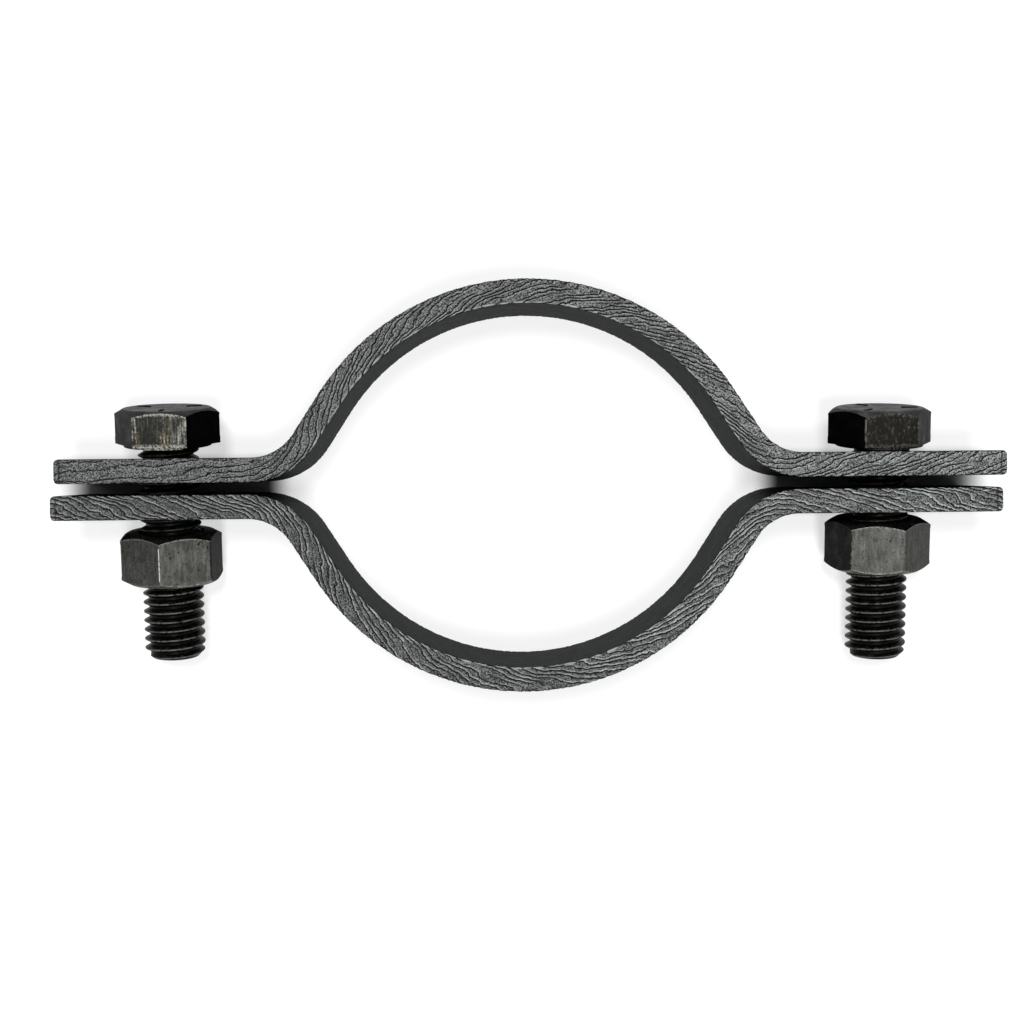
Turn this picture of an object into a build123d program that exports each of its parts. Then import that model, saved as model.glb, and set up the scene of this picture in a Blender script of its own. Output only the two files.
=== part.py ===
"""Two-bolt pipe clamp: two bent flat-bar halves held together by two hex bolts and nuts.

Frame: +Z is the axis of the pipe, +X runs along the ears, +Y points towards the bolt heads.
The origin is on the axis of the pipe seat, level with the side edges the clamp lies on.
The halves are slack on their bolts, so the bolts droop in their holes with the nuts low.
Millimetres and degrees.
"""
from build123d import *
from math import cos, radians, sin, sqrt, tan
import os

# Flat bar that both halves are bent from
bar_thickness = 5.0
bar_width = 32.0
bar_edge_break = 0.4       # chamfer on the long edges of the rolled bar

# Shape of one half, seen along the pipe
seat_radius = 45.1         # inside radius of the curved middle
seat_rise = 35.5           # inside of the crown above the ear's mating face
flank_angle = 57.0         # steepest slope, where the curve runs off to the ear
bend_radius = 10.3         # outside radius of the bend beside each ear
left_ear_end = 20.85       # from the middle of the bolt hole to the ear's sheared end
right_ear_end = 22.35
ear_end_radius = 0.9       # rounding of the sheared ends

# Where the two halves lie
ear_gap = 2.4              # between the mating faces of the ears
half_shift = 0.4           # slack shift of each half along the ears, off the pipe's axis
hole_spacing = 149.0       # between the two bolt holes
hole_clearance = 2.4       # hole diameter over bolt diameter

# Hex bolts, 1/2-13 threaded to the head
bolt_diameter = 12.7
bolt_length = 45.0         # from under the head to the tip
bolt_droop = 7.5           # slope of the slack bolts, heads up and nuts down
tip_chamfer = 1.4
head_flats = 19.05
head_height = 7.9          # with its washer face
washer_face_height = 0.5
left_head_stand_off = 2.85  # under the head to the ear, on the bolt's axis
right_head_stand_off = 1.45

# Hex nuts
nut_flats = 19.05
nut_height = 10.6
nut_bore_clearance = 0.4   # nut bore over bolt diameter
left_nut_stand_off = 2.85   # from the ear to the nut, on the bolt's axis
right_nut_stand_off = 1.6

# Turned corners of the heads and nuts
corner_angle = 30.0
corner_circle_ratio = 0.95  # circle left on an end face, over the width across flats
left_head_turn = 0.0
right_head_turn = 3.5
left_nut_turn = 26.0
right_nut_turn = -10.0

# Derived sizes
mid_width = bar_width / 2
left_x = -hole_spacing / 2
right_x = hole_spacing / 2
left_end_x = left_x - left_ear_end
right_end_x = right_x + right_ear_end
hole_diameter = bolt_diameter + hole_clearance
ear_inner_y = ear_gap / 2
ear_outer_y = ear_inner_y + bar_thickness
nut_bore = bolt_diameter + nut_bore_clearance


def strap_edge(offset):
    """Edge line of a half from ear end to ear end, offset outwards from its seat side."""
    turn = radians(flank_angle)
    radius = seat_radius + offset
    centre_y = seat_rise - seat_radius
    bend = bend_radius + bar_thickness - offset
    flank_top_x = radius * sin(turn)
    flank_top_y = centre_y + radius * cos(turn)
    flank = (flank_top_y - offset - bend * (1 - cos(turn))) / sin(turn)
    foot_x = flank_top_x + flank * cos(turn)
    foot_y = flank_top_y - flank * sin(turn)
    ear_start_x = foot_x + bend * sin(turn)
    bend_centre_y = offset + bend
    ear_right = Line((right_end_x, offset), (ear_start_x, offset))
    bend_right = CenterArc((ear_start_x, bend_centre_y), bend, 270, -flank_angle)
    flank_right = Line((foot_x, foot_y), (flank_top_x, flank_top_y))
    crown = CenterArc((0, centre_y), radius, 90 - flank_angle, 2 * flank_angle)
    flank_left = Line((-flank_top_x, flank_top_y), (-foot_x, foot_y))
    bend_left = CenterArc((-ear_start_x, bend_centre_y), bend, 270 + flank_angle, -flank_angle)
    ear_left = Line((-ear_start_x, offset), (left_end_x, offset))
    return [ear_right, bend_right, flank_right, crown, flank_left, bend_left, ear_left]


def strap():
    """One half of the clamp on its side, with the mating faces of its ears at Y = 0."""
    ends = [Line((x, 0), (x, bar_thickness)) for x in (left_end_x, right_end_x)]
    outline = Wire(strap_edge(0) + strap_edge(bar_thickness) + ends)
    body = extrude(make_face(outline), bar_width)
    upright = body.edges().filter_by(Axis.Z).sort_by(Axis.X)
    body = fillet(upright[:2] + upright[-2:], ear_end_radius)
    rims = body.faces().filter_by(Axis.Z).edges()
    body = chamfer(rims, bar_edge_break)
    for x in (left_x, right_x):
        drill = Cylinder(hole_diameter / 2, 3 * bar_thickness, rotation=(90, 0, 0))
        body -= Pos(x, bar_thickness / 2, mid_width) * drill
    return body


def corner_cone(flats, height, top, bottom):
    """Turned blank whose cones cut the corners of a hexagon at the chosen ends."""
    corner_radius = flats / sqrt(3) + 0.01
    face_radius = flats / 2 * corner_circle_ratio
    drop = (corner_radius - face_radius) * tan(radians(corner_angle))
    low = face_radius if bottom else corner_radius
    high = face_radius if top else corner_radius
    points = [(0, 0), (low, 0)]
    if bottom:
        points.append((corner_radius, drop))
    if top:
        points.append((corner_radius, height - drop))
    points += [(high, height), (0, height)]
    profile = Plane.XZ * make_face(Polyline(*points, close=True))
    return revolve(profile, Axis.Z)


def hexagon(flats, height, top, bottom):
    """Hexagonal prism standing on Z = 0 with turned corners."""
    prism = extrude(RegularPolygon(flats / 2, 6, major_radius=False), height)
    return prism & corner_cone(flats, height, top, bottom)


def bolt(head_turn):
    """Hex bolt along Z with its tip down and the underside of its head at Z = 0."""
    washer_face = Cylinder(
        head_flats / 2 * corner_circle_ratio, washer_face_height,
        align=(Align.CENTER, Align.CENTER, Align.MIN),
    )
    head = hexagon(head_flats, head_height - washer_face_height, top=True, bottom=False)
    head = Rot(Z=head_turn) * Pos(Z=washer_face_height) * head
    shank = Cylinder(
        bolt_diameter / 2, bolt_length, align=(Align.CENTER, Align.CENTER, Align.MAX)
    )
    shank = chamfer(shank.edges().sort_by(Axis.Z)[0], tip_chamfer)
    return head + washer_face + shank


def nut(turn):
    """Hex nut along Z with its ear side at Z = 0 and its body below."""
    body = Pos(Z=-nut_height) * hexagon(nut_flats, nut_height, top=True, bottom=True)
    bore = Cylinder(
        nut_bore / 2, nut_height, align=(Align.CENTER, Align.CENTER, Align.MAX)
    )
    return Rot(Z=turn) * (body - bore)


def on_bolt_axis(x, ear_distance):
    """Place on the drooping axis of the bolt at x, ear_distance beyond the hole's middle."""
    droop = radians(bolt_droop)
    along = ear_distance / cos(droop)
    centre = Pos(x, along * cos(droop), mid_width + along * sin(droop))
    return centre * Rot(X=bolt_droop - 90)


half = strap()
turned_over = Pos(Z=bar_width) * (Rot(X=180) * half)
parts = {
    "upper_half": Pos(half_shift, ear_inner_y, 0) * half,
    "lower_half": Pos(-half_shift, -ear_inner_y, 0) * turned_over,
    "left_bolt": on_bolt_axis(left_x, ear_outer_y + left_head_stand_off) * bolt(left_head_turn),
    "right_bolt": on_bolt_axis(right_x, ear_outer_y + right_head_stand_off) * bolt(right_head_turn),
    "left_nut": on_bolt_axis(left_x, -ear_outer_y - left_nut_stand_off) * nut(left_nut_turn),
    "right_nut": on_bolt_axis(right_x, -ear_outer_y - right_nut_stand_off) * nut(right_nut_turn),
}

os.makedirs("parts", exist_ok=True)
for name, shape in parts.items():
    export_step(shape, f"parts/{name}.step")
    box = shape.bounding_box()
    print(name, [round(v, 2) for v in (*box.min, *box.max)], round(shape.volume, 1))
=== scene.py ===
"""Two-bolt pipe clamp lying on its side: two bent flat bars, two hex bolts and two hex nuts."""

from math import atan2, cos, exp, hypot, pi, radians, sin, sqrt, tan

import bmesh
import bpy
from mathutils import Matrix, Vector, noise


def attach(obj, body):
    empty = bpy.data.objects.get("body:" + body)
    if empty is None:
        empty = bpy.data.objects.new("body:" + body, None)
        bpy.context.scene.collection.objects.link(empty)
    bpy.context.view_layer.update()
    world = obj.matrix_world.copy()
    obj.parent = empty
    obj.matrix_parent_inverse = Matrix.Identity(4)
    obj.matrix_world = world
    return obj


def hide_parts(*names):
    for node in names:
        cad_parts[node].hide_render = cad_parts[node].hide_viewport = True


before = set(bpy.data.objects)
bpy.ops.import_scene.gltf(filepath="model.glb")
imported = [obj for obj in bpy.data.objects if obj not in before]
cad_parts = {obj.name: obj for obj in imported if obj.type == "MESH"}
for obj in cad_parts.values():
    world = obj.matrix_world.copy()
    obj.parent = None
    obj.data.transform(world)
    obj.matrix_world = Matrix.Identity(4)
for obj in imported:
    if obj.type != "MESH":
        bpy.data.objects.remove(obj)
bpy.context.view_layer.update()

MM = 0.001

# Bent flat bar, in millimetres and degrees, as in the solids
THICKNESS = 5.0
WIDTH = 32.0
SEAT_RADIUS = 45.1
SEAT_RISE = 35.5
FLANK_ANGLE = radians(57.0)
BEND_RADIUS = 10.3
HOLE_SPACING = 149.0
HOLE_RADIUS = 7.55
LEFT_END = HOLE_SPACING / 2 + 20.85
RIGHT_END = HOLE_SPACING / 2 + 22.35
END_RADIUS = 0.9           # rounding of the sheared ends
RIM = 0.35                 # rounding of the long edges
RIM_BAND = 1.1             # how far down the broad faces the rims are rough
EAR_GAP = 2.4
HALF_SHIFT = 0.4
EAR_FACE = EAR_GAP / 2 + THICKNESS
RIGHT_HOLE = HOLE_SPACING / 2
LEFT_HOLE = -RIGHT_HOLE
HOLE_SIDES = 48
HOLE_PATCH = (8.4, 8.0)    # half the patch of faces that is made anew round a hole
EAR_STEPS, BEND_STEPS, FLANK_STEPS, CROWN_STEPS = 42, 20, 10, 110
HAIR = 0.01                # tolerance for picking vertices and faces
BROAD_FACE, SIDE_EDGE = range(2)  # order of a bar's materials

# Bolts and nuts
PITCH = 25.4 / 13
THREAD_RADIUS = 6.35
ROOT_RADIUS = 5.2
BOLT_LENGTH = 45.0
TIP_CHAMFER = 1.4
DROOP = 7.5
FLATS = 19.05
HEAD_HEIGHT = 7.9
WASHER_FACE = 0.5
NUT_HEIGHT = 10.6
NUT_BORE = 6.55            # radius
BORE_RIM = 7.1             # radius of the countersink
COUNTERSINK = 0.7          # and its depth
CORNER_CIRCLE = FLATS / 2 * 0.95
CORNER_SLOPE = tan(radians(30.0))
CORNER_REACH = FLATS / sqrt(3)
CORNER_ROUND = 0.195       # rounding of the six corners
BRINK = 0.9                # how far the wear reaches below the turned corners
WASHER_BRINK = 1.4         # and above the washer face
NUT_END_REACH = 8.6        # faces nearer to the axis are the nut's bore and ends
CREASE = 35.0              # folds sharper than this stay sharp in the shading
# Undersides of the heads and upper ends of the nuts, along Y from the middle of the gap
LEFT_HEAD_REACH = EAR_FACE + 2.85
RIGHT_HEAD_REACH = EAR_FACE + 1.45
LEFT_NUT_REACH = -EAR_FACE - 2.85
RIGHT_NUT_REACH = -EAR_FACE - 1.6
THREAD_TURNS = 25          # more than the bolt needs, then cut to its length
THREAD_STEPS = 40          # to one turn
ROOT_FLAT = 0.22           # half the flat between two threads
CREST_FLAT = 0.09          # half the flat on a crest
CREST_EASE = 0.10          # height of the slope beside it
CREST_FOOT = 0.20          # half the crest's width at that slope's foot
RUBBED_FROM = 18.0         # below the head, where the crests start to be rubbed bare
RUBBED_FADE = 4.0          # and how soon they are
HEAD_OVERLAP = 0.3         # how far the shank goes on into the head
DASH_SIZE = (3.4, 0.75, 0.3)  # length, width and height of a dash on a head's end
DASH_REACH = 6.1           # from the axis to its middle
DASH_LIFT = 0.02           # of its middle above the end face
BLACK, RUBBED, CHAMFER_AND_LIT_SIDE, CORNER, THREAD, HEAD_END = range(6)     # order of a bolt's materials
SATIN, NUT_SHADED_SIDE, NUT_END, NUT_CORNER, SHADED_SATIN = range(5)  # order of a nut's materials

# Points on the bar's inside line that the bends run between
CROWN_CENTRE_Y = SEAT_RISE - SEAT_RADIUS
INNER_BEND = BEND_RADIUS + THICKNESS
FLANK_TOP = Vector((
    SEAT_RADIUS * sin(FLANK_ANGLE), CROWN_CENTRE_Y + SEAT_RADIUS * cos(FLANK_ANGLE),
))
FLANK_LENGTH = (FLANK_TOP.y - INNER_BEND * (1 - cos(FLANK_ANGLE))) / sin(FLANK_ANGLE)
FLANK_FOOT = FLANK_TOP + FLANK_LENGTH * Vector((cos(FLANK_ANGLE), -sin(FLANK_ANGLE)))
EAR_START = FLANK_FOOT.x + INNER_BEND * sin(FLANK_ANGLE)
CROWN_MIDDLE = SEAT_RADIUS + THICKNESS / 2
BEND_MIDDLE = BEND_RADIUS + THICKNESS / 2
CROWN_HALF = CROWN_MIDDLE * FLANK_ANGLE
BEND_SPAN = BEND_MIDDLE * FLANK_ANGLE
FLANK_END = CROWN_HALF + FLANK_LENGTH

# How the torn grain runs: distance from the crown, slope outwards, lines per millimetre
GRAIN_END = 115            # how far from the crown the tables below reach
GRAIN_STEPS = 4            # per millimetre
UPPER_GRAIN = (
    (-GRAIN_END, 0.06, 0.50), (-88, 0.10, 0.60), (-74, 0.22, 0.70), (-60, 0.34, 0.90),
    (-30, 0.36, 1.10), (0, 0.30, 1.15), (22, 0.46, 1.20), (48, 0.42, 1.15), (66, 0.36, 1.05),
    (GRAIN_END, 0.40, 0.90),
)
LOWER_GRAIN = (
    (-GRAIN_END, 0.42, 0.95), (-70, 0.45, 0.95), (-45, 0.36, 0.95), (0, 0.30, 0.95),
    (40, 0.26, 1.00), (65, 0.32, 0.90), (GRAIN_END, 0.36, 0.95),
)
# The same columns, for the side edges that the clamp lies on
UNDER_GRAIN = (
    (-GRAIN_END, 0.3, 0.8), (-50, -0.2, 1.0), (0, -0.3, 1.1), (50, -0.35, 1.0),
    (GRAIN_END, -0.2, 0.8),
)
TEAR_DEPTH = 0.13          # how far the crevices are cut
TEAR_RISE = 0.09           # how far the steel rises from one crevice to the next
TEAR_WIDTH = 0.15          # how wide the crevices are
RIM_HIGHLIGHT = 0.5            # width of the painted highlight along the inside rim


# ---------------------------------------------------------------- materials

class Nodes:
    """Short calls for adding and joining a tree's nodes."""

    def __init__(self, tree):
        self.tree = tree

    def node(self, kind, **settings):
        made = self.tree.nodes.new(kind)
        for key, value in settings.items():
            setattr(made, key, value)
        return made

    def feed(self, socket, value):
        """Joins a socket, or sets a number or colour, on an input."""
        if isinstance(value, bpy.types.NodeSocket):
            self.tree.links.new(value, socket)
        elif socket.type == "RGBA":
            socket.default_value = colour_of(value)
        else:
            socket.default_value = value

    def maths(self, operation, *values):
        made = self.node("ShaderNodeMath", operation=operation)
        for socket, value in zip(made.inputs, values):
            self.feed(socket, value)
        return made.outputs["Value"]

    def seen_ray(self):
        """1 for what the camera sees, also in gloss and through glass, and otherwise 0."""
        path = self.node("ShaderNodeLightPath").outputs
        gloss = self.maths("MAXIMUM", path["Is Glossy Ray"], path["Is Transmission Ray"])
        return self.maths("MAXIMUM", path["Is Camera Ray"], gloss)


class Finish(Nodes):
    """A material, with calls for the patterns that the finishes are made from."""

    def __init__(self, name):
        self.material = bpy.data.materials.new(name)
        self.material.use_nodes = True
        super().__init__(self.material.node_tree)
        self.surface = self.tree.nodes["Principled BSDF"]

    def place(self, scale=(1.0, 1.0, 1.0)):
        """Object coordinates, stretched."""
        mapping = self.node("ShaderNodeMapping")
        self.feed(mapping.inputs["Vector"], self.node("ShaderNodeTexCoord").outputs["Object"])
        mapping.inputs["Scale"].default_value = scale
        return mapping.outputs["Vector"]

    def coordinate(self, vector, letter):
        """One coordinate of a place."""
        parted = self.node("ShaderNodeSeparateXYZ")
        self.feed(parted.inputs["Vector"], vector)
        return parted.outputs[letter]

    def noise(self, vector, scale, detail=4.0, roughness=0.6):
        made = self.node("ShaderNodeTexNoise")
        made.inputs["Scale"].default_value = scale
        made.inputs["Detail"].default_value = detail
        made.inputs["Roughness"].default_value = roughness
        self.feed(made.inputs["Vector"], vector)
        return made.outputs["Fac"]

    def span(self, value, low, high, start=0.0, end=1.0):
        """Smooth change from start to end as value goes from low to high."""
        made = self.node("ShaderNodeMapRange", interpolation_type="SMOOTHSTEP")
        for name, number in (("Value", value), ("From Min", low), ("From Max", high),
                             ("To Min", start), ("To Max", end)):
            self.feed(made.inputs[name], number)
        return made.outputs["Result"]

    def mix(self, factor, first, second):
        """Mix of two colours, by the sockets that the node uses for colours."""
        made = self.node("ShaderNodeMix", data_type="RGBA")
        for socket, value in ((0, factor), (6, first), (7, second)):
            self.feed(made.inputs[socket], value)
        return made.outputs[2]

    def attribute(self, name):
        return self.node("ShaderNodeAttribute", attribute_name=name).outputs["Fac"]

    def bump(self, height, distance, strength=1.0, normal=None):
        made = self.node("ShaderNodeBump")
        made.inputs["Strength"].default_value = strength
        made.inputs["Distance"].default_value = distance
        self.feed(made.inputs["Height"], height)
        if normal:
            self.feed(made.inputs["Normal"], normal)
        return made.outputs["Normal"]

    def finish(self, colour, metallic, roughness, normal=None, specular=0.5):
        self.feed(self.surface.inputs["Base Color"], colour)
        self.feed(self.surface.inputs["Roughness"], roughness)
        self.surface.inputs["Metallic"].default_value = metallic
        self.surface.inputs["Specular IOR Level"].default_value = specular
        if normal:
            self.feed(self.surface.inputs["Normal"], normal)
        return self.material


def colour_of(value):
    """RGBA of a grey or an (r, g, b)."""
    if isinstance(value, (int, float)):
        return (value, value, value, 1.0)
    return (*value, 1.0)


def shade(colour, tone):
    """A colour made darker or lighter."""
    return tuple(part * tone for part in colour)


def held(value, low=0.0, high=1.0):
    """A number kept between two limits."""
    return max(low, min(high, value))


def torn_edge_steel(name, grey, crest_highlight, crest_reach):
    """Side edges of the bar: speckled steel, with painted shade in the crevices and fine cracks and
    a painted highlight on the crests beside them.

    The attributes give the count of grain lines, their strength (tear) and number per
    millimetre (pace), the painted highlight along the inside rim, and the distance from the ear's
    end.
    """
    f = Finish(name)
    place = f.place()
    fine = f.noise(place, 3100.0, detail=2.0, roughness=0.8)
    coarse = f.noise(place, 1500.0, detail=2.0)
    patches = f.noise(place, 240.0, detail=3.0)
    jag = f.maths("SUBTRACT", f.noise(place, 1300.0, detail=4.0, roughness=0.7), 0.5)
    jag = f.maths("MULTIPLY", jag, 0.7)
    pace = f.attribute("pace")
    phase = f.maths("ADD", f.attribute("grain"), jag)
    tear = f.attribute("tear")
    line = f.maths("DIVIDE", f.maths("PINGPONG", phase, 0.5), pace)
    # painted shade: the crevices of the torn grain are darkened
    crevice = f.maths("MULTIPLY", f.span(line, 0.07, 0.19, 1.0, 0.0), f.span(tear, 0.15, 0.5))
    # painted highlight on the crest beside each crevice
    beside = f.maths("PINGPONG", f.maths("ADD", phase, f.maths("MULTIPLY", pace, 0.22)), 0.5)
    crest = f.span(f.maths("DIVIDE", beside, pace), 0.03, crest_reach, 1.0, 0.0)
    crest = f.maths("MULTIPLY", crest, f.span(tear, 0.2, 0.8))
    crest = f.maths("MULTIPLY", crest, f.span(coarse, 0.3, 0.6, 0.25, 1.0))
    small = f.maths("ADD", f.maths("MULTIPLY", phase, 2.4), f.noise(place, 420.0))
    crack = f.span(f.maths("PINGPONG", small, 0.5), 0.06, 0.22, 1.0, 0.0)
    cracked = f.span(f.noise(place, 330.0, detail=1.0), 0.44, 0.56, 0.0, 0.6)
    crack = f.maths("MULTIPLY", crack, cracked)
    end = f.maths("ADD", f.attribute("end"), f.maths("MULTIPLY", jag, 1.2))
    seam = f.span(f.maths("ABSOLUTE", f.maths("SUBTRACT", end, 1.1)), 0.08, 0.26, 0.7, 0.0)
    light = (grey, grey * 1.05, grey * 1.03)
    base = f.mix(f.span(fine, 0.42, 0.58), (0.004, 0.0045, 0.0044), light)
    base = f.mix(f.span(coarse, 0.38, 0.66, 0.0, 0.35), base, (0.045, 0.048, 0.047))
    base = f.mix(f.span(patches, 0.56, 0.70, 0.0, 0.45), base, (0.175, 0.184, 0.182))
    # the crests get their painted highlight
    base = f.mix(f.maths("MULTIPLY", crest, crest_highlight), base, (0.45, 0.47, 0.475))
    # painted shade in the fine cracks
    base = f.mix(crack, base, (0.012, 0.013, 0.013))
    darker_left = f.span(f.coordinate(place, "X"), -0.09, 0.085, 0.38, 0.0)
    base = f.mix(darker_left, base, (0.022, 0.024, 0.023))
    # painted highlight along the inside rim
    base = f.mix(f.span(f.attribute("rim"), 0.1, 0.5, 0.0, 0.85), base, (0.36, 0.375, 0.37))
    # painted shade in the crevices, with the dark seam line by the ear's end
    base = f.mix(f.maths("MAXIMUM", crevice, seam), base, (0.002, 0.002, 0.002))
    depth = f.maths("MULTIPLY", fine, 0.6)
    depth = f.maths("SUBTRACT", depth, f.maths("MAXIMUM", crevice, crack))
    return f.finish(base, 0.1, 0.65, f.bump(depth, 0.00014, 0.9), specular=0.1)


def rolled_steel():
    """Broad faces of the bar: smooth mill scale, faintly mottled, and near black with painted shade
    between the ears.
    """
    f = Finish("rolled_steel")
    place = f.place()
    mottle = f.noise(place, 110.0, detail=6.0, roughness=0.65)
    streaks = f.noise(f.place((1.0, 1.0, 6.0)), 210.0, detail=4.0, roughness=0.7)
    speck = f.noise(place, 1500.0, detail=3.0, roughness=0.7)
    base = f.mix(f.span(mottle, 0.38, 0.64), (0.015, 0.017, 0.0162), (0.042, 0.0455, 0.044))
    base = f.mix(f.span(streaks, 0.5, 0.66, 0.0, 0.6), base, (0.066, 0.070, 0.068))
    base = f.mix(f.span(streaks, 0.30, 0.42, 0.5, 0.0), base, (0.012, 0.013, 0.0125))
    base = f.mix(f.span(speck, 0.56, 0.70, 0.0, 0.5), base, (0.095, 0.099, 0.097))
    base = f.mix(f.span(speck, 0.32, 0.42, 0.6, 0.0), base, (0.012, 0.013, 0.0125))
    # painted shade: the faces that meet across the gap between the ears are turned near black
    from_gap = f.maths("ABSOLUTE", f.coordinate(place, "Y"))
    base = f.mix(f.span(from_gap, 0.0016, 0.0040, 0.94, 0.0), base, 0.001)
    normal = f.bump(speck, 0.00006, 0.7, f.bump(streaks, 0.00008, 0.5))
    return f.finish(base, 0.0, f.span(mottle, 0.3, 0.7, 0.5, 0.66), normal, specular=0.005)


def oxide_steel(name, dark, light, specks, roughness):
    """Black oxide in darker and lighter copies, with fine light specks."""
    f = Finish(name)
    place = f.place()
    patches = f.noise(place, 320.0, detail=4.0)
    lines = f.noise(f.place((1.0, 0.2, 0.6)), 1500.0, detail=3.0)
    speck = f.noise(place, 2600.0, detail=2.0)
    base = f.mix(f.span(patches, 0.4, 0.7), dark, light)
    base = f.mix(f.span(lines, 0.5, 0.75, 0.0, 0.5), base, light)
    base = f.mix(f.span(speck, 0.6, 0.74, 0.0, specks), base, (0.16, 0.158, 0.148))
    normal = f.bump(lines, 0.00004, 0.6, f.bump(patches, 0.00012, 0.5))
    return f.finish(base, 0.0, roughness, normal, specular=0.01)


def rubbed_steel(name, dark, pale, gold, stretch, fineness):
    """Head face rubbed through its oxide along the bolt, most of all by the washer face, with
    painted glints.
    """
    f = Finish(name)
    place = f.place()
    streaks = f.noise(f.place((1.0, stretch, 0.3)), 1150.0 * fineness, detail=4.0, roughness=0.7)
    broad = f.noise(f.place((1.0, stretch * 1.5, 0.3)), 270.0 * fineness, detail=2.0)
    tint = f.noise(f.place((1.0, 0.5, 0.3)), 420.0, detail=2.0)
    stains = f.noise(place, 620.0 * fineness, detail=4.0, roughness=0.75)
    speck = f.noise(place, 2100.0, detail=2.0, roughness=0.8)
    warm = f.mix(f.span(tint, 0.46, 0.60), pale, gold)
    base = f.mix(f.span(streaks, 0.42, 0.66), dark, warm)
    base = f.mix(f.span(broad, 0.42, 0.60, 0.85, 0.0), base, dark)
    base = f.mix(f.span(stains, 0.42, 0.58, 0.65, 0.0), base, dark)
    # painted highlights: glints on the rubbed streaks
    painted_glints = f.maths("MULTIPLY", f.span(streaks, 0.57, 0.66), f.span(speck, 0.42, 0.56))
    base = f.mix(painted_glints, base, shade(pale, 2.0))
    base = f.mix(f.span(speck, 0.38, 0.52, 0.75, 0.0), base, (0.003, 0.003, 0.0025))
    rubbed = f.span(f.attribute("brink"), 0.35, 0.95)
    rubbed = f.maths("MULTIPLY", rubbed, f.span(speck, 0.40, 0.58))
    base = f.mix(rubbed, base, shade(pale, 1.5))
    normal = f.bump(streaks, 0.00006, 0.7, f.bump(speck, 0.00004, 0.8))
    return f.finish(base, 0.1, f.span(streaks, 0.35, 0.7, 0.42, 0.6), normal, specular=0.06)


def satin_nut_steel(name, tone, stained):
    """Satin dark steel of the nut's sides, with fine upright lines, stains and pits; a lower tone
    gives painted shade.
    """
    f = Finish(name)
    place = f.place()
    lines = f.noise(f.place((1.0, 0.12, 1.0)), 1500.0, detail=4.0, roughness=0.7)
    grit = f.noise(place, 1900.0, detail=2.0, roughness=0.8)
    stains = f.noise(place, 300.0, detail=5.0, roughness=0.7)
    pits = f.noise(place, 950.0, detail=2.0)
    dark, light = shade((0.052, 0.053, 0.046), tone), shade((0.094, 0.096, 0.088), tone)
    base = f.mix(f.span(stains, 0.38, 0.62), dark, light)
    base = f.mix(f.span(lines, 0.48, 0.68, 0.0, 0.55), base, shade((0.165, 0.168, 0.158), tone))
    base = f.mix(f.span(lines, 0.32, 0.44, 0.55, 0.0), base, shade((0.020, 0.020, 0.018), tone))
    base = f.mix(f.span(grit, 0.36, 0.48, 0.5, 0.0), base, shade((0.022, 0.022, 0.020), tone))
    base = f.mix(f.span(stains, 0.56, 0.68, 0.0, stained), base, shade((0.024, 0.024, 0.020), tone))
    base = f.mix(f.span(pits, 0.66, 0.71), base, (0.004, 0.004, 0.004))
    edge = f.span(f.attribute("brink"), 0.72, 1.0, 0.0, 0.5)
    edge = f.maths("MULTIPLY", edge, f.span(grit, 0.40, 0.56))
    base = f.mix(edge, base, shade((0.36, 0.36, 0.34), tone))
    normal = f.bump(lines, 0.00004, 0.7, f.bump(grit, 0.00003, 0.6))
    return f.finish(base, 0.1, f.span(stains, 0.35, 0.7, 0.40, 0.52), normal, specular=0.05)


def worn_and_highlit_corner_steel(name, light, bare):
    """Corners rubbed bright in places, partly a painted highlight."""
    f = Finish(name)
    speck = f.noise(f.place(), 900.0, detail=3.0, roughness=0.7)
    base = f.mix(f.span(speck, bare, bare + 0.16), shade(light, 0.12), light)
    return f.finish(base, 0.2, 0.45, specular=0.08)


def thread_steel():
    """Oily black thread with its crests warm grey, partly rubbed steel and partly painted
    highlight.
    """
    f = Finish("thread_steel")
    place = f.place()
    speck = f.noise(place, 1100.0, detail=4.0, roughness=0.7)
    base = f.mix(f.span(speck, 0.45, 0.7), (0.0008, 0.0008, 0.0007), (0.0045, 0.0043, 0.0038))
    # crests worn bright, partly a painted highlight
    worn_and_highlit = f.span(f.attribute("crown"), 0.62, 1.0)
    worn_and_highlit = f.maths("MULTIPLY", worn_and_highlit, f.span(speck, 0.38, 0.56, 0.1, 1.0))
    base = f.mix(f.maths("MULTIPLY", worn_and_highlit, f.attribute("bare")), base, (0.125, 0.119, 0.103))
    # painted highlight on the upper flanks
    flank = f.maths("MULTIPLY", f.span(f.attribute("flank"), 0.3, 0.7), f.span(speck, 0.48, 0.62))
    base = f.mix(f.maths("MULTIPLY", flank, 0.35), base, (0.030, 0.029, 0.026))
    return f.finish(base, 0.1, 0.38, f.bump(speck, 0.00006, 0.6), specular=0.04)


# ---------------------------------------------------------------- the bent bars

def along_bar(x, y):
    """(distance from the crown, height above the inside face) of a point of a half's side view."""
    side = -1.0 if x < 0 else 1.0
    x = abs(x)
    turn = atan2(x, y - CROWN_CENTRE_Y)
    if turn <= FLANK_ANGLE:
        return side * CROWN_MIDDLE * turn, hypot(x, y - CROWN_CENTRE_Y) - SEAT_RADIUS
    down = Vector((cos(FLANK_ANGLE), -sin(FLANK_ANGLE)))
    out = Vector((sin(FLANK_ANGLE), cos(FLANK_ANGLE)))
    offset = Vector((x, y)) - FLANK_TOP
    if offset.dot(down) <= FLANK_LENGTH:
        return side * (CROWN_HALF + offset.dot(down)), offset.dot(out)
    if x < EAR_START:
        bend = atan2(EAR_START - x, INNER_BEND - y)
        radius = hypot(EAR_START - x, INNER_BEND - y)
        return side * (FLANK_END + BEND_MIDDLE * (FLANK_ANGLE - bend)), INNER_BEND - radius
    return side * (FLANK_END + BEND_SPAN + x - EAR_START), y


def last_ring(made):
    """The edges at the end of a sweep."""
    return [e for e in made["geom_last"] if isinstance(e, bmesh.types.BMEdge)]


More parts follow.
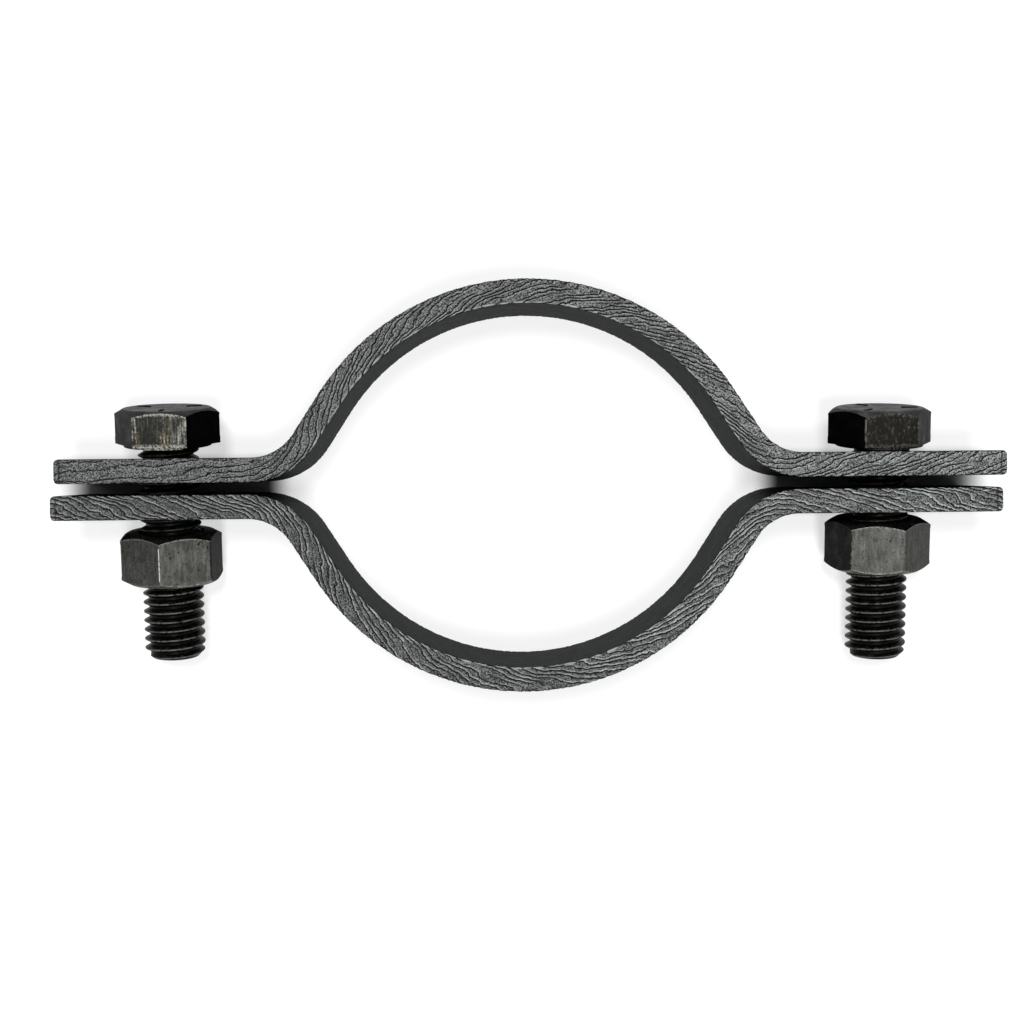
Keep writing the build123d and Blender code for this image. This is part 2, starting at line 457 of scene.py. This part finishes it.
def sweep_straight(bm, ring, heading, length, steps):
    """Carries a section along a straight run and returns its last ring."""
    step = Vector((*heading, 0.0)) * (length / steps)
    return last_ring(bmesh.ops.spin(
        bm, geom=ring, cent=(0, 0, 0), axis=(0, 0, 1), dvec=step, angle=0.0, steps=steps,
        use_duplicate=False,
    ))


def sweep_arc(bm, ring, centre, angle, steps):
    """Carries a section round an upright axis and returns its last ring."""
    return last_ring(bmesh.ops.spin(
        bm, geom=ring, cent=(*centre, 0.0), axis=(0, 0, 1), dvec=(0, 0, 0), angle=angle,
        steps=steps, use_duplicate=False,
    ))


def bar_section(bm):
    """Rounded section of the bar at its right-hand end."""
    corners = [
        bm.verts.new((RIGHT_END, y, z))
        for y, z in ((0, 0), (THICKNESS, 0), (THICKNESS, WIDTH), (0, WIDTH))
    ]
    face = bm.faces.new(corners)
    bmesh.ops.bevel(
        bm, geom=list(face.verts), offset=RIM, offset_type="OFFSET", affect="VERTICES",
        segments=3, profile=0.5, material=-1,
    )
    bmesh.ops.delete(bm, geom=bm.faces[:], context="FACES_ONLY")
    upright = [e for e in bm.edges if abs(e.verts[0].co.y - e.verts[1].co.y) < 1e-6]
    bmesh.ops.subdivide_edges(bm, edges=upright, cuts=3)
    return bm.edges[:]


def is_level(edge):
    """Whether an edge lies at one height above the floor."""
    return abs(edge.verts[0].co.z - edge.verts[1].co.z) < 1e-5


def edges_of(verts):
    """The edges that meet the vertices, each once."""
    return list(dict.fromkeys(e for v in verts for e in v.link_edges))


def sweep_bar(bm):
    """Sweeps the section from ear to ear, cuts its faces fine, and closes the ends."""
    ring = bar_section(bm)
    down = (-cos(FLANK_ANGLE), sin(FLANK_ANGLE))
    up = (-cos(FLANK_ANGLE), -sin(FLANK_ANGLE))
    ring = sweep_straight(bm, ring, (-1, 0), END_RADIUS, 2)
    ring = sweep_straight(bm, ring, (-1, 0), RIGHT_END - END_RADIUS - EAR_START, EAR_STEPS)
    ring = sweep_arc(bm, ring, (EAR_START, INNER_BEND), -FLANK_ANGLE, BEND_STEPS)
    ring = sweep_straight(bm, ring, down, FLANK_LENGTH, FLANK_STEPS)
    ring = sweep_arc(bm, ring, (0, CROWN_CENTRE_Y), 2 * FLANK_ANGLE, CROWN_STEPS)
    ring = sweep_straight(bm, ring, up, FLANK_LENGTH, FLANK_STEPS)
    ring = sweep_arc(bm, ring, (-EAR_START, INNER_BEND), -FLANK_ANGLE, BEND_STEPS)
    ring = sweep_straight(bm, ring, (-1, 0), LEFT_END - END_RADIUS - EAR_START, EAR_STEPS)
    ring = sweep_straight(bm, ring, (-1, 0), END_RADIUS, 2)
    heights = {v: along_bar(v.co.x, v.co.y)[1] for v in bm.verts}
    lengthwise = [
        e for e in bm.edges
        if is_level(e) and abs(heights[e.verts[0]] - heights[e.verts[1]]) < 1e-3
    ]
    bmesh.ops.subdivide_edges(bm, edges=lengthwise, cuts=3)
    across = [e for e in bm.edges if is_level(e) and e.calc_length() > 1.5]
    bmesh.ops.subdivide_edges(bm, edges=across, cuts=21)
    for z in (RIM_BAND, WIDTH - RIM_BAND):
        bmesh.ops.bisect_plane(
            bm, geom=bm.verts[:] + bm.edges[:] + bm.faces[:], plane_co=(0, 0, z), plane_no=(0, 0, 1)
        )
    ends = [e for e in bm.edges if e.is_boundary]
    bmesh.ops.edgeloop_fill(bm, edges=[e for e in ends if e.verts[0].co.x > 0])
    bmesh.ops.edgeloop_fill(bm, edges=[e for e in ends if e.verts[0].co.x < 0])
    bmesh.ops.recalc_face_normals(bm, faces=bm.faces[:])


def grain_table(flow):
    """Lines counted along the inside rim, step by step, and the lines per millimetre there."""
    counts, spreads, total = [], [], 0.0
    for i in range(2 * GRAIN_END * GRAIN_STEPS + 1):
        s = -GRAIN_END + i / GRAIN_STEPS
        for (s0, slope0, lines0), (s1, slope1, lines1) in zip(flow, flow[1:]):
            if s <= s1:
                break
        part = (s - s0) / (s1 - s0)
        slope = slope0 + (slope1 - slope0) * part
        lines = lines0 + (lines1 - lines0) * part
        total += slope * lines / GRAIN_STEPS
        counts.append(total)
        spreads.append(lines)
    return counts, spreads


def grain_at(s, t, table, seed):
    """(count of grain lines, strength of the nearest one) at s along and t across the bar."""
    counts, spreads = table
    steps = (s + GRAIN_END) * GRAIN_STEPS
    i = min(len(counts) - 2, max(0, int(steps)))
    along = counts[i] + (counts[i + 1] - counts[i]) * (steps - i)
    wave = noise.noise((s * 0.12, t * 0.4, seed))
    ripple = noise.noise((s * 0.65, t, seed + 9.0)) * 0.32
    across = THICKNESS * (t / THICKNESS) ** 0.85 if t > 0 else t
    count = (across + wave + ripple) * spreads[i] - along
    tear = 0.74 + 1.1 * noise.noise((s * 0.12, round(count) * 1.7 + seed, t * 0.12))
    return count, held(tear)


def tear_side_edges(bm, top_flow, bottom_flow, seed):
    """Raises the torn grain on both side edges and roughens the rims beside them."""
    layers = bm.verts.layers.float
    grain, tears, paces = layers.new("grain"), layers.new("tear"), layers.new("pace")
    rim_highlights, ends = layers.new("rim"), layers.new("end")
    tables = grain_table(top_flow), grain_table(bottom_flow)
    nudge = 0.2
    for v in bm.verts:
        depth = min(v.co.z, WIDTH - v.co.z)
        if depth > RIM_BAND - HAIR:
            continue
        on_top = v.co.z > WIDTH / 2
        s, t = along_bar(v.co.x, v.co.y)
        side = seed + (0.0 if on_top else 50.0)
        nibble_rim(v, s, t, depth, side)
        if depth > RIM + HAIR:
            continue
        table = tables[0 if on_top else 1]
        count, tear = grain_at(s, t, table, side)
        along = (grain_at(s + nudge, t, table, side)[0] - count) / nudge
        across = (grain_at(s, t + nudge, table, side)[0] - count) / nudge
        inside = 1.0 - depth / (RIM + HAIR)
        v[grain] = count
        v[paces] = max(0.25, hypot(along, across))
        v[ends] = min(3.0, RIGHT_END - v.co.x, v.co.x + LEFT_END)
        v[tears] = tear * min(1.0, 3.0 * inside)
        # painted highlight along the inside rim of the crown and flanks
        if t < RIM_HIGHLIGHT and abs(s) < FLANK_END:
            bright = held(0.65 + 1.3 * noise.noise((s * 0.45, 5.0, seed)))
            v[rim_highlights] = bright * (1.0 - t / RIM_HIGHLIGHT)
        saw = count - round(count) + 0.5
        gap = abs(count - round(count)) / v[paces]
        height = TEAR_RISE * saw * tear - TEAR_DEPTH * exp(-((gap / TEAR_WIDTH) ** 2)) * tear
        sink = (TEAR_DEPTH - height) * inside
        v.co.z += -sink if on_top else sink


def nibble_rim(v, s, t, depth, seed):
    """Draws a vertex near a rim into the bar here and there, so the rim is slightly ragged."""
    outer = t > THICKNESS / 2
    near = 1.0 - min(t, THICKNESS - t) / 1.4
    if near <= 0.0:
        return
    bite = noise.noise((s * 0.6, seed, 3.0)) + 1.3 * noise.noise((s * 1.7, seed, 8.0 + outer))
    fade = min(1.0, (RIM_BAND - depth) / (RIM_BAND - RIM))
    bite = near * held(1.3 * bite, high=0.65) * fade
    if abs(s) > FLANK_END + BEND_SPAN / 2:
        v.co.y += bite * (-0.5 if outer else 0.3)
        return
    away = Vector((v.co.x, v.co.y - CROWN_CENTRE_Y, 0.0)).normalized()
    v.co += away * bite * (-0.9 if outer else 0.15)


def round_ends(bm):
    """Rounds the sheared ends of the ears through the bar's thickness."""
    for v in bm.verts:
        left = min(RIGHT_END - v.co.x, v.co.x + LEFT_END)
        if left < END_RADIUS:
            inset = END_RADIUS - sqrt(max(0.0, END_RADIUS ** 2 - (END_RADIUS - left) ** 2))
            v.co.y = min(max(v.co.y, inset), THICKNESS - inset)


def open_hole(bm, x):
    """Cuts the bolt hole through an ear and lines its wall."""
    rings = []
    for y in (0.0, THICKNESS):
        window = [
            f for f in bm.faces
            if abs(f.normal.y) > 0.9 and abs(f.calc_center_median().y - y) < HAIR
            and abs(f.calc_center_median().x - x) < HOLE_PATCH[0]
            and abs(f.calc_center_median().z - WIDTH / 2) < HOLE_PATCH[1]
        ]
        inside = set(window)
        window_edges = [
            e for f in window for e in f.edges if len(inside.intersection(e.link_faces)) == 1
        ]
        bmesh.ops.delete(bm, geom=window, context="FACES")
        place = Matrix.Translation((x, y, WIDTH / 2)) @ Matrix.Rotation(pi / 2, 4, "X")
        circle = bmesh.ops.create_circle(
            bm, segments=HOLE_SIDES, radius=HOLE_RADIUS, matrix=place
        )["verts"]
        round_edges = edges_of(circle)
        bmesh.ops.triangle_fill(
            bm, edges=window_edges + round_edges, use_beauty=True, normal=(0, 1 if y else -1, 0)
        )
        rings += round_edges
    bmesh.ops.bridge_loops(bm, edges=rings)
    for edge in rings:
        edge.smooth = False


def bent_bar(name, node, flows, seed, place, materials):
    """One half of the clamp, swept round its bends from ear to ear."""
    bm = bmesh.new()
    sweep_bar(bm)
    bm.normal_update()
    for face in bm.faces:
        face.material_index = SIDE_EDGE if abs(face.normal.z) > 0.5 else BROAD_FACE
    for x in (LEFT_HOLE, RIGHT_HOLE):
        open_hole(bm, x)
    bmesh.ops.recalc_face_normals(bm, faces=bm.faces[:])
    tear_side_edges(bm, *flows, seed)
    round_ends(bm)
    return finish_piece(bm, name, node, place, materials)


# ---------------------------------------------------------------- bolts and nuts

def hex_reach(v):
    """Distance from the axis to the hexagon's side in the direction of a vertex."""
    turn = atan2(v.co.y, v.co.x) % (pi / 3) - pi / 6
    return FLATS / 2 / cos(turn)


def cone_drop(v):
    """How far the turned cone falls below the end face in the direction of a vertex."""
    return max(0.0, hex_reach(v) - CORNER_CIRCLE) * CORNER_SLOPE


def move_ring(verts, radius, z, drop):
    """Puts a ring at a radius, or on the hexagon's sides, with its corners dropped by the cone."""
    for v in verts:
        new = hex_reach(v) if radius is None else radius
        cone = cone_drop(v)
        scale = new / hypot(v.co.x, v.co.y)
        v.co = (v.co.x * scale, v.co.y * scale, z + drop * cone)


def turned_hexagon(bm, rings):
    """Builds a hexagonal form from rings and returns its first and last ring.

    Each ring is its radius, or None for the hexagon, its height, and -1 or 1 where its corners
    are dropped from an upper or a lower end.
    """
    bmesh.ops.create_circle(
        bm, segments=6, radius=CORNER_REACH, matrix=Matrix.Rotation(pi / 2, 4, "Z")
    )
    bmesh.ops.subdivide_edges(bm, edges=bm.edges[:], cuts=11)
    ring = bm.edges[:]
    first = ring
    move_ring(bm.verts, *rings[0])
    for radius, z, drop in rings[1:]:
        made = bmesh.ops.extrude_edge_only(bm, edges=ring)["geom"]
        verts = {g for g in made if isinstance(g, bmesh.types.BMVert)}
        ring = [
            g for g in made
            if isinstance(g, bmesh.types.BMEdge) and verts.issuperset(g.verts)
        ]
        move_ring(verts, radius, z, drop)
    return first, ring


def round_corners(bm):
    """Rounds the six corners a little and returns the faces made along them."""
    bm.normal_update()
    corners = [
        e for e in bm.edges
        if e.is_manifold and e.calc_face_angle() > radians(22.0)
        and abs(e.verts[0].co.z - e.verts[1].co.z) > 2.0
    ]
    bmesh.ops.bevel(
        bm, geom=corners, offset=CORNER_ROUND, offset_type="OFFSET", affect="EDGES",
        segments=3, profile=0.5, material=-1,
    )
    bm.normal_update()
    brim = CORNER_REACH - 0.18
    return [
        f for f in bm.faces
        if abs(f.normal.z) < 0.5 and all(hex_reach(v) > brim for v in f.verts)
    ]


def mark_brinks(bm, low_end, high_end):
    """Marks the sides by the turned corners, and the head's sides by its washer face."""
    brink = bm.verts.layers.float.new("brink")
    is_nut = low_end < 0.0
    for v in bm.verts:
        cone = cone_drop(v)
        by_top = 1.0 - (high_end - cone - v.co.z) / BRINK
        if is_nut:
            by_bottom = 1.0 - (v.co.z - low_end - cone) / BRINK
        else:
            by_bottom = 1.0 - (v.co.z - low_end) / WASHER_BRINK
        v[brink] = held(max(by_top, by_bottom))


def screw_thread(bm):
    """Right-hand thread downwards from Z = 0, one turn spun and then repeated."""
    half = PITCH / 2
    outline = (
        (ROOT_RADIUS, 0.0), (ROOT_RADIUS, -ROOT_FLAT),
        (THREAD_RADIUS - CREST_EASE, -half + CREST_FOOT), (THREAD_RADIUS, -half + CREST_FLAT),
        (THREAD_RADIUS, -half - CREST_FLAT), (THREAD_RADIUS - CREST_EASE, -half - CREST_FOOT),
        (ROOT_RADIUS, -PITCH + ROOT_FLAT), (ROOT_RADIUS, -PITCH),
    )
    points = [bm.verts.new((r, 0.0, z)) for r, z in outline]
    ring = [bm.edges.new(pair) for pair in zip(points, points[1:])]
    bmesh.ops.spin(
        bm, geom=ring, cent=(0, 0, 0), axis=(0, 0, 1), dvec=(0, 0, PITCH / THREAD_STEPS),
        angle=2 * pi, steps=THREAD_STEPS, use_duplicate=False,
    )
    bmesh.ops.spin(
        bm, geom=bm.verts[:] + bm.edges[:] + bm.faces[:], cent=(0, 0, 0), axis=(0, 0, 1),
        dvec=(0, 0, -PITCH), angle=0.0, steps=THREAD_TURNS, use_duplicate=True,
    )
    bmesh.ops.remove_doubles(bm, verts=bm.verts[:], dist=0.002)


def threaded_shank():
    """Shank threaded to the head, cut square under it and chamfered at the tip."""
    bm = bmesh.new()
    screw_thread(bm)
    for z, outward in ((HEAD_OVERLAP, 1), (-BOLT_LENGTH, -1)):
        bmesh.ops.bisect_plane(
            bm, geom=bm.verts[:] + bm.edges[:] + bm.faces[:], plane_co=(0, 0, z),
            plane_no=(0, 0, outward), clear_outer=True,
        )
    layers = bm.verts.layers.float
    crown, flank, bare = layers.new("crown"), layers.new("flank"), layers.new("bare")
    for v in bm.verts:
        reach = hypot(v.co.x, v.co.y)
        rise = (reach - ROOT_RADIUS) / (THREAD_RADIUS - ROOT_RADIUS)
        v[crown] = held(rise * 4.0 - 3.0)
        v[flank] = rise
        v[bare] = held((-v.co.z - RUBBED_FROM) / RUBBED_FADE, low=0.2)
        limit = THREAD_RADIUS - TIP_CHAMFER + (v.co.z + BOLT_LENGTH)
        if reach > limit:
            v.co.x *= limit / reach
            v.co.y *= limit / reach
    bmesh.ops.holes_fill(bm, edges=[e for e in bm.edges if e.is_boundary], sides=0)
    bmesh.ops.recalc_face_normals(bm, faces=bm.faces[:])
    for face in bm.faces:
        face.material_index = THREAD
    return bm


def turn_about_axis(bm, turn):
    """Turns a head or nut about its axis, in degrees."""
    bmesh.ops.rotate(
        bm, verts=bm.verts[:], cent=(0, 0, 0), matrix=Matrix.Rotation(radians(turn), 3, "Z")
    )
    bm.normal_update()


def hex_head(turn, outward, dash_angle):
    """Head with its washer face below, its chamfer above and three plain dashes on top."""
    bm = bmesh.new()
    first, last = turned_hexagon(bm, (
        (THREAD_RADIUS - 1.5, 0.0, 0), (CORNER_CIRCLE, 0.0, 0), (CORNER_CIRCLE, WASHER_FACE, 0),
        (None, WASHER_FACE, 0), (None, WASHER_FACE + 1.6, 0), (None, HEAD_HEIGHT - 1.6, 0),
        (None, HEAD_HEIGHT, -1), (CORNER_CIRCLE, HEAD_HEIGHT, 0),
        (CORNER_CIRCLE * 0.6, HEAD_HEIGHT - 0.05, 0),
    ))
    bmesh.ops.edgeloop_fill(bm, edges=last)
    bmesh.ops.edgeloop_fill(bm, edges=first)
    bmesh.ops.recalc_face_normals(bm, faces=bm.faces[:])
    worn_and_highlit = round_corners(bm)
    mark_brinks(bm, WASHER_FACE, HEAD_HEIGHT)
    turn_about_axis(bm, turn)
    paint_head(bm, worn_and_highlit, outward)
    for step in (0.0, 120.0, 240.0):
        add_dash(bm, turn + dash_angle + step)
    return bm


def paint_head(bm, worn_and_highlit, outward):
    """Gives a head its finishes: rubbed above, lighter oxide as painted light on the clamp's outer
    side, black elsewhere.
    """
    # the corners that face up are rubbed bright, partly a painted highlight
    worn_and_highlit = {f for f in worn_and_highlit if f.normal.y < -0.6}
    for face in bm.faces:
        upwards = -face.normal.y
        sideways = face.normal.x * outward
        if face in worn_and_highlit:
            face.material_index = CORNER
        elif face.normal.z > 0.97:
            face.material_index = HEAD_END
        elif face.normal.z > 0.3:
            face.material_index = CHAMFER_AND_LIT_SIDE
        elif face.normal.z < -0.3:
            face.material_index = BLACK
        elif upwards > 0.85:
            face.material_index = RUBBED
        # painted light and shade: the outer side gets lighter oxide, the inner side stays black
        elif sideways > 0.4:
            face.material_index = CHAMFER_AND_LIT_SIDE
        else:
            face.material_index = BLACK


def add_dash(bm, angle):
    """Raised dash on the head's end face, pointing at the axis."""
    from_axis = Matrix.Translation((DASH_REACH, 0, HEAD_HEIGHT + DASH_LIFT))
    place = Matrix.Rotation(radians(angle), 4, "Z") @ from_axis
    size = Matrix.Diagonal((*DASH_SIZE, 1.0))
    made = bmesh.ops.create_cube(bm, size=1.0, matrix=place @ size)
    bmesh.ops.bevel(
        bm, geom=edges_of(made["verts"]), offset=0.12, offset_type="OFFSET",
        affect="EDGES", segments=2, profile=0.5, material=-1,
    )


def hex_bolt(name, node, x, reach, turn, outward, dash_angle, materials):
    """One bolt: head and threaded shank in one mesh."""
    whole = merged(hex_head(turn, outward, dash_angle), threaded_shank())
    return finish_piece(whole, name, node, on_bolt_axis(x, reach), materials, CREASE)


def hex_nut(name, node, x, reach, turn, outward, materials):
    """One nut, chamfered on both ends, with a countersunk bore."""
    bm = bmesh.new()
    low = -NUT_HEIGHT
    first, last = turned_hexagon(bm, (
        (NUT_BORE, -COUNTERSINK, 0), (BORE_RIM, 0.0, 0), (CORNER_CIRCLE, 0.0, 0),
        (None, 0.0, -1), (None, -2.0, 0), (None, low + 2.0, 0), (None, low, 1),
        (CORNER_CIRCLE, low, 0), (BORE_RIM, low, 0), (NUT_BORE, low + COUNTERSINK, 0),
    ))
    bmesh.ops.bridge_loops(bm, edges=first + last)
    bmesh.ops.recalc_face_normals(bm, faces=bm.faces[:])
    worn_and_highlit = round_corners(bm)
    mark_brinks(bm, low, 0.0)
    turn_about_axis(bm, turn)
    paint_nut(bm, worn_and_highlit, outward)
    return finish_piece(bm, name, node, on_bolt_axis(x, reach), materials, CREASE)


def paint_nut(bm, worn_and_highlit, outward):
    """Gives a nut its finishes: satin sides, painted shade on the outer and inner ones, black ends
    and bore, one worn and highlit corner.
    """
    # one corner facing up is rubbed bright, partly a painted highlight
    worn_and_highlit = {f for f in worn_and_highlit if f.normal.y < -0.5 and f.normal.x < 0.0}
    for face in bm.faces:
        if face in worn_and_highlit:
            face.material_index = NUT_CORNER
        elif face.normal.z > 0.3 or hypot(*face.calc_center_median().xy) < NUT_END_REACH:
            face.material_index = NUT_END
        # painted shade: darker satin on the outer sides and outer end, dark oxide on the inner
        # sides
        elif face.normal.z < -0.3 or face.normal.x * outward > 0.5:
            face.material_index = SHADED_SATIN
        elif face.normal.x * outward < -0.6:
            face.material_index = NUT_SHADED_SIDE
        else:
            face.material_index = SATIN


def merged(first, second):
    """One bmesh with the faces of both."""
    mesh = bpy.data.meshes.new("joined")
    second.to_mesh(mesh)
    second.free()
    first.from_mesh(mesh)
    bpy.data.meshes.remove(mesh)
    return first


def on_bolt_axis(x, reach):
    """Place on the drooping axis of the bolt at x, at reach from the middle of the gap."""
    height = WIDTH / 2 + reach * tan(radians(DROOP))
    return Matrix.Translation((x, reach, height)) @ Matrix.Rotation(radians(DROOP - 90.0), 4, "X")


def finish_piece(bm, name, node, place, materials, crease=None):
    """Puts a piece modelled in millimetres in its place, in metres, and in the solid's stead."""
    bmesh.ops.transform(bm, matrix=Matrix.Scale(MM, 4) @ place, verts=bm.verts[:])
    for face in bm.faces:
        face.smooth = True
    mesh = bpy.data.meshes.new(name)
    bm.to_mesh(mesh)
    bm.free()
    if crease:
        mesh.set_sharp_from_angle(angle=radians(crease))
    for material in materials:
        mesh.materials.append(material)
    piece = bpy.data.objects.new(name, mesh)
    bpy.context.scene.collection.objects.link(piece)
    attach(piece, node)
    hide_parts(node)
    return piece


# ---------------------------------------------------------------- stage

WHITE = (1.0, 1.0, 1.0, 1.0)
FLOOR_GLOW = 0.62
WORLD_LIGHT = 0.14
# Where the painted shadow under the ears fades out, in metres: across them and at both ends along
# them
SHADE_SIDE = (0.004, 0.008)
SHADE_INNER = (0.050, 0.056)
SHADE_OUTER = (0.094, 0.104)
# Where the camera stands over the floor, and where it aims, in metres
CAMERA_FOOT = Vector((-5.44, 3.75)) * MM
CAMERA_HEIGHT = 0.3976
AIM_DEPTH = 0.3656
CAMERA_ROLL = radians(0.575)
FILM_WIDTH = 36.0
FOCAL_PIXELS = 1815.0      # focal length, on a picture of FRAME_PIXELS across
FRAME_PIXELS = 1024.0


def studio_floor():
    """Floor whose white is its own for what is seen, and paint that keeps the shadow, with a
    painted shadow under the ears.
    """
    bm = bmesh.new()
    bmesh.ops.create_grid(bm, x_segments=1, y_segments=1, size=3.0)
    mesh = bpy.data.meshes.new("studio_floor")
    bm.to_mesh(mesh)
    bm.free()
    board = bpy.data.objects.new("studio_floor", mesh)
    bpy.context.scene.collection.objects.link(board)
    f = Finish("studio_floor")
    seen = f.seen_ray()
    place = f.place()
    across = f.maths("ABSOLUTE", f.coordinate(place, "Y"))
    along = f.maths("ABSOLUTE", f.coordinate(place, "X"))
    beside = f.span(across, *SHADE_SIDE)
    within = f.span(along, *SHADE_INNER, 1.0, 0.0)
    beyond = f.span(along, *SHADE_OUTER)
    # painted shadow under the ears: no glow there, and a darker paint below
    clear_of_ears = f.maths("MAXIMUM", beside, f.maths("MAXIMUM", within, beyond))
    f.surface.inputs["Emission Color"].default_value = WHITE
    glow = f.maths("MULTIPLY", f.maths("MULTIPLY", seen, clear_of_ears), FLOOR_GLOW)
    f.feed(f.surface.inputs["Emission Strength"], glow)
    # darker paint under the ears for what is seen: painted shadow
    paint = f.mix(seen, 0.9, f.mix(clear_of_ears, 0.35, 0.42))
    mesh.materials.append(f.finish(paint, 0.0, 0.9, specular=0.0))


def lights():
    """Weak even world, seen as white, and soft lamps: two above and one low at each side."""
    world = bpy.data.worlds.new("studio")
    world.use_nodes = True
    background = world.node_tree.nodes["Background"]
    background.inputs["Color"].default_value = WHITE
    n = Nodes(world.node_tree)
    strength = n.maths("MULTIPLY", n.seen_ray(), 1.0 - WORLD_LIGHT)
    n.feed(background.inputs["Strength"], n.maths("ADD", strength, WORLD_LIGHT))
    bpy.context.scene.world = world
    lamp("back_light", (-0.03, 0.17, 0.95), (0.0, 0.0, 0.0), size=0.16, watts=5.5)
    lamp("front_light", (0.03, -0.17, 0.95), (0.0, 0.0, 0.0), size=0.16, watts=5.1)
    lamp("left_light", (-0.40, 0.20, 0.25), (-0.06, 0.0, 0.02), size=0.2, watts=0.12)
    lamp("right_light", (0.40, -0.20, 0.25), (0.06, 0.0, 0.02), size=0.2, watts=0.12)


def lamp(name, position, target, size, watts):
    """Round soft lamp that points at the target."""
    data = bpy.data.lights.new(name, "AREA")
    data.shape = "DISK"
    data.size = size
    data.energy = watts
    made = bpy.data.objects.new(name, data)
    made.location = position
    made.rotation_euler = (Vector(target) - Vector(position)).to_track_quat("-Z", "Y").to_euler()
    bpy.context.scene.collection.objects.link(made)


def camera():
    """Camera straight over the clamp, with the pipe's axis pointing nearly at it."""
    data = bpy.data.cameras.new("camera")
    data.sensor_width = FILM_WIDTH
    data.lens = FILM_WIDTH * FOCAL_PIXELS / FRAME_PIXELS
    aim = Matrix.Rotation(-CAMERA_ROLL, 2) @ Vector((2.74, -9.02)) * MM
    made = bpy.data.objects.new("camera", data)
    made.location = (*CAMERA_FOOT, CAMERA_HEIGHT)
    target = Vector((
        CAMERA_FOOT.x + aim.x, CAMERA_FOOT.y + aim.y, CAMERA_HEIGHT - AIM_DEPTH,
    ))
    forward = (target - made.location).normalized()
    up = Vector((sin(CAMERA_ROLL), cos(CAMERA_ROLL), 0.0))
    right = forward.cross(up).normalized()
    up = right.cross(forward)
    made.rotation_euler = Matrix((right, up, -forward)).transposed().to_euler()
    bpy.context.scene.collection.objects.link(made)
    bpy.context.scene.camera = made


# ---------------------------------------------------------------- making the clamp

upper_place = Matrix.Translation((HALF_SHIFT, EAR_GAP / 2, 0))
lower_place = Matrix.Translation((-HALF_SHIFT, -EAR_GAP / 2, WIDTH)) @ Matrix.Rotation(pi, 4, "X")
scale_steel = rolled_steel()
upper_edge = torn_edge_steel("upper_edge_steel", 0.300, 0.6, 0.15)
lower_edge = torn_edge_steel("lower_edge_steel", 0.225, 0.9, 0.26)
bent_bar(
    "upper_bar", "upper_half", (UPPER_GRAIN, UNDER_GRAIN), 1.0, upper_place,
    (scale_steel, upper_edge),
)
bent_bar(
    "lower_bar", "lower_half", (UNDER_GRAIN, LOWER_GRAIN), 2.0, lower_place,
    (scale_steel, lower_edge),
)

black = oxide_steel("black_oxide", (0.0006, 0.0006, 0.0006), (0.0018, 0.0018, 0.0018), 0.03, 0.5)
# lighter oxide for the chamfers, and painted light on the heads' outer sides
left_chamfer_and_lit_side = oxide_steel("left_chamfer_and_lit_side_oxide", (0.022, 0.023, 0.023), (0.052, 0.053, 0.053), 0.3, 0.5)
right_chamfer_and_lit_side = oxide_steel("right_chamfer_and_lit_side_oxide", (0.024, 0.025, 0.024), (0.070, 0.071, 0.068), 0.5, 0.5)
head_end = oxide_steel("head_end_steel", (0.060, 0.062, 0.062), (0.155, 0.159, 0.158), 0.6, 0.5)
thread = thread_steel()
left_corner = worn_and_highlit_corner_steel("left_head_corner", (0.30, 0.30, 0.27), 0.44)
right_corner = worn_and_highlit_corner_steel("right_head_corner", (0.10, 0.098, 0.09), 0.42)
nut_corner = worn_and_highlit_corner_steel("nut_corner", (0.42, 0.42, 0.40), 0.30)
left_rub = rubbed_steel(
    "left_head_rubbed", dark=(0.014, 0.014, 0.0125), pale=(0.205, 0.205, 0.180),
    gold=(0.19, 0.16, 0.085), stretch=0.10, fineness=1.0,
)
right_rub = rubbed_steel(
    "right_head_rubbed", dark=(0.0065, 0.006, 0.0048), pale=(0.044, 0.043, 0.036),
    gold=(0.042, 0.034, 0.018), stretch=0.3, fineness=2.2,
)
hex_bolt(
    "left_hex_bolt", "left_bolt", LEFT_HOLE, LEFT_HEAD_REACH, turn=0.0, outward=-1,
    dash_angle=30.0, materials=(black, left_rub, left_chamfer_and_lit_side, left_corner, thread, head_end),
)
hex_bolt(
    "right_hex_bolt", "right_bolt", RIGHT_HOLE, RIGHT_HEAD_REACH, turn=3.5, outward=1,
    dash_angle=-8.0, materials=(black, right_rub, right_chamfer_and_lit_side, right_corner, thread, head_end),
)

satin = satin_nut_steel("satin_nut_steel", 1.0, 0.5)
# painted shade: a darker copy of the satin steel
shaded_satin = satin_nut_steel("shaded_nut_steel", 0.56, 0.8)
nut_end = oxide_steel("nut_end_steel", (0.002, 0.002, 0.002), (0.012, 0.012, 0.011), 0.3, 0.35)
# painted shade on the nuts' inner sides
nut_shaded_side = oxide_steel("nut_shaded_side_steel", (0.012, 0.0123, 0.0116), (0.030, 0.031, 0.0295), 0.3, 0.45)
hex_nut(
    "left_hex_nut", "left_nut", LEFT_HOLE, LEFT_NUT_REACH, turn=26.0, outward=-1,
    materials=(satin, nut_shaded_side, nut_end, nut_corner, shaded_satin),
)
hex_nut(
    "right_hex_nut", "right_nut", RIGHT_HOLE, RIGHT_NUT_REACH, turn=-10.0, outward=1,
    materials=(satin, nut_shaded_side, nut_end, right_corner, shaded_satin),
)

studio_floor()
lights()
camera()
bpy.context.scene.view_settings.view_transform = "Standard"
